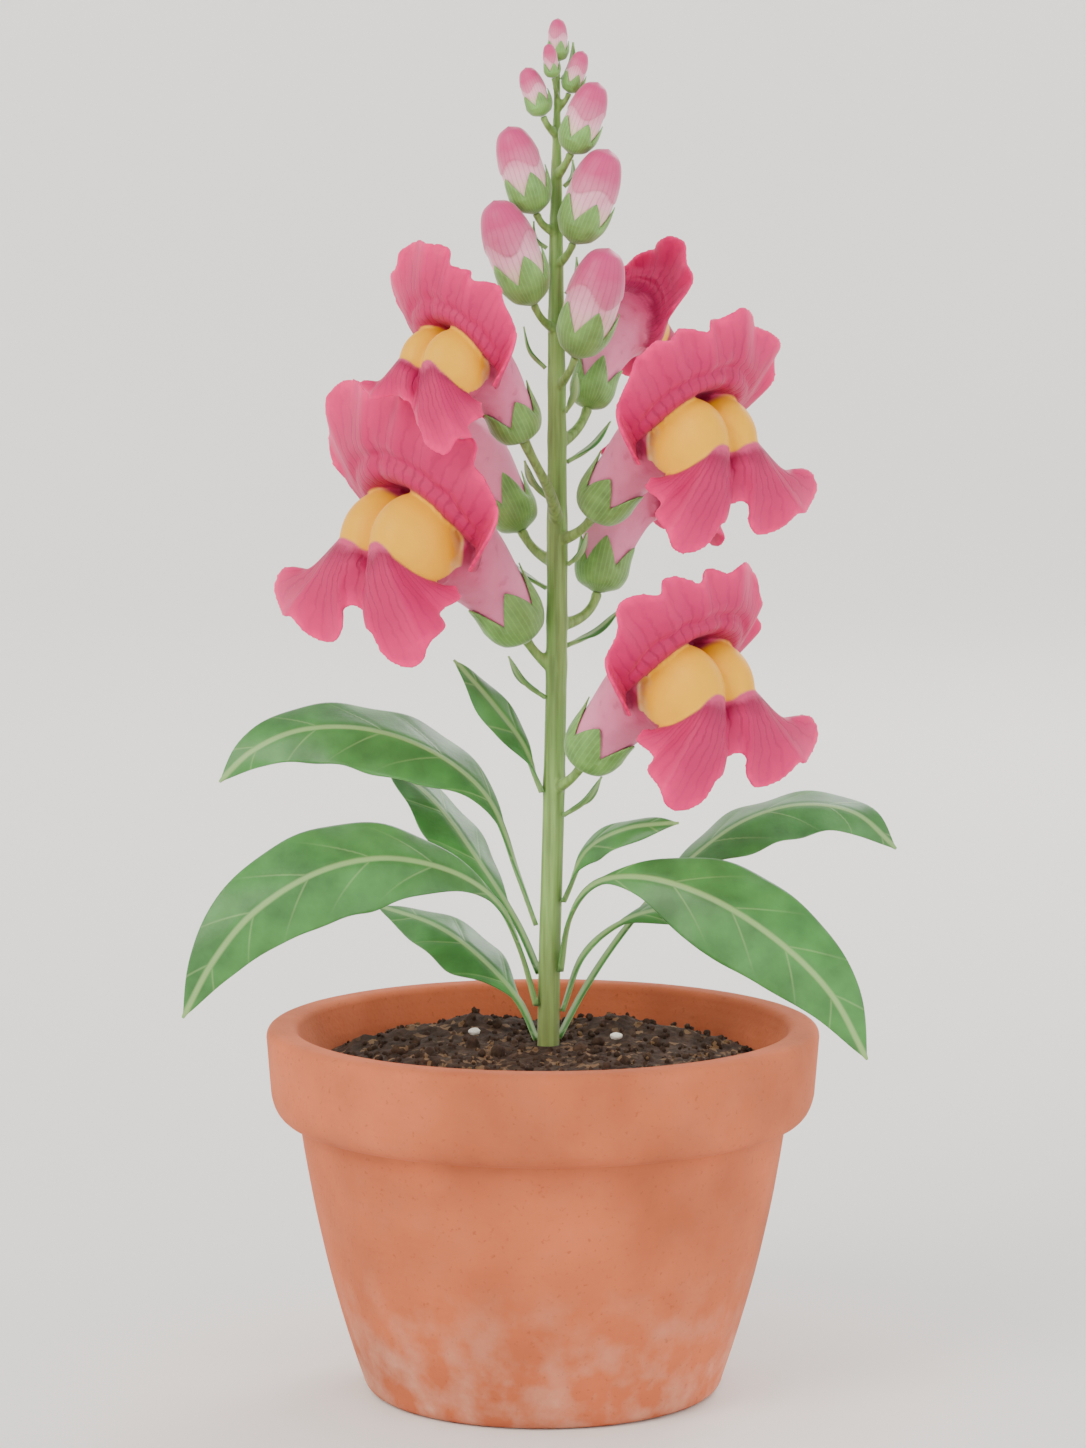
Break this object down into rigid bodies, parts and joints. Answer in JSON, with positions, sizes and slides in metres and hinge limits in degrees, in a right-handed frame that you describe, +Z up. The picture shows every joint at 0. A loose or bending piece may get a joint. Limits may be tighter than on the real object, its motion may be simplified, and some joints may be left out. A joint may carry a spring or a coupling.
{
  "type": "potted snapdragon plant",
  "caption": "Flowering snapdragon in a round clay pot: one upright stem with arching leaves, two-lipped flowers and a tip of closed buds.",
  "frame": {"origin": "centre of the pot's base, on the surface it stands on", "axes": "+Z up along the stem; -Y towards the side that the large open flowers lean to; +X to the right seen from there"},
  "size_m": [0.1432, 0.1104, 0.273],
  "materials": {
    "terracotta": "fired unglazed clay, matt",
    "soil": "moist peat potting mix, crumbly",
    "perlite": "white porous mineral grains",
    "stem": "fleshy light green, fine hairs",
    "leaf": "smooth mid green, slight sheen",
    "sepal": "soft light green",
    "petal": "velvety pink with a yellow palate",
    "bud_petal": "smooth pale pink, greenish at the foot"
  },
  "bodies": {
    "root": {"pot": "terracotta", "potting_soil": "soil", "perlite_left": "perlite", "perlite_right": "perlite", "main_stem": "stem", "leaf_lower_left_front": "leaf", "leaf_upper_left_front": "leaf", "leaf_lower_left_back": "leaf", "leaf_upper_left_back": "leaf", "leaf_small_left": "leaf", "leaf_small_right": "leaf", "leaf_upper_right_back": "leaf", "leaf_upper_right_front": "leaf", "leaf_lower_right_back": "leaf", "bract_1": "leaf", "bract_2": "leaf", "bract_3": "leaf", "bract_4": "leaf", "bract_5": "leaf", "bract_6": "leaf", "bract_7": "leaf", "bract_8": "leaf", "bract_9": "leaf", "bract_10": "leaf", "bract_11": "leaf", "bract_12": "leaf", "bract_13": "leaf", "corolla_left_upper": "petal", "calyx_left_upper": "sepal", "corolla_left_lower": "petal", "calyx_left_lower": "sepal", "corolla_right_upper": "petal", "calyx_right_upper": "sepal", "corolla_right_lower": "petal", "calyx_right_lower": "sepal", "corolla_back_right_upper": "petal", "calyx_back_right_upper": "sepal", "corolla_back_right_lower": "petal", "calyx_back_right_lower": "sepal", "corolla_back_left": "petal", "calyx_back_left": "sepal", "bud_petals_right_1": "bud_petal", "bud_calyx_right_1": "sepal", "bud_petals_left_1": "bud_petal", "bud_calyx_left_1": "sepal", "bud_petals_right_2": "bud_petal", "bud_calyx_right_2": "sepal", "bud_petals_left_2": "bud_petal", "bud_calyx_left_2": "sepal", "bud_petals_right_3": "bud_petal", "bud_calyx_right_3": "sepal", "bud_petals_left_3": "bud_petal", "bud_calyx_left_3": "sepal", "bud_petals_right_4": "bud_petal", "bud_calyx_right_4": "sepal", "bud_petals_left_4": "bud_petal", "bud_calyx_left_4": "sepal", "bud_petals_tip": "bud_petal", "bud_calyx_tip": "sepal"}
  },
  "joints": []
}
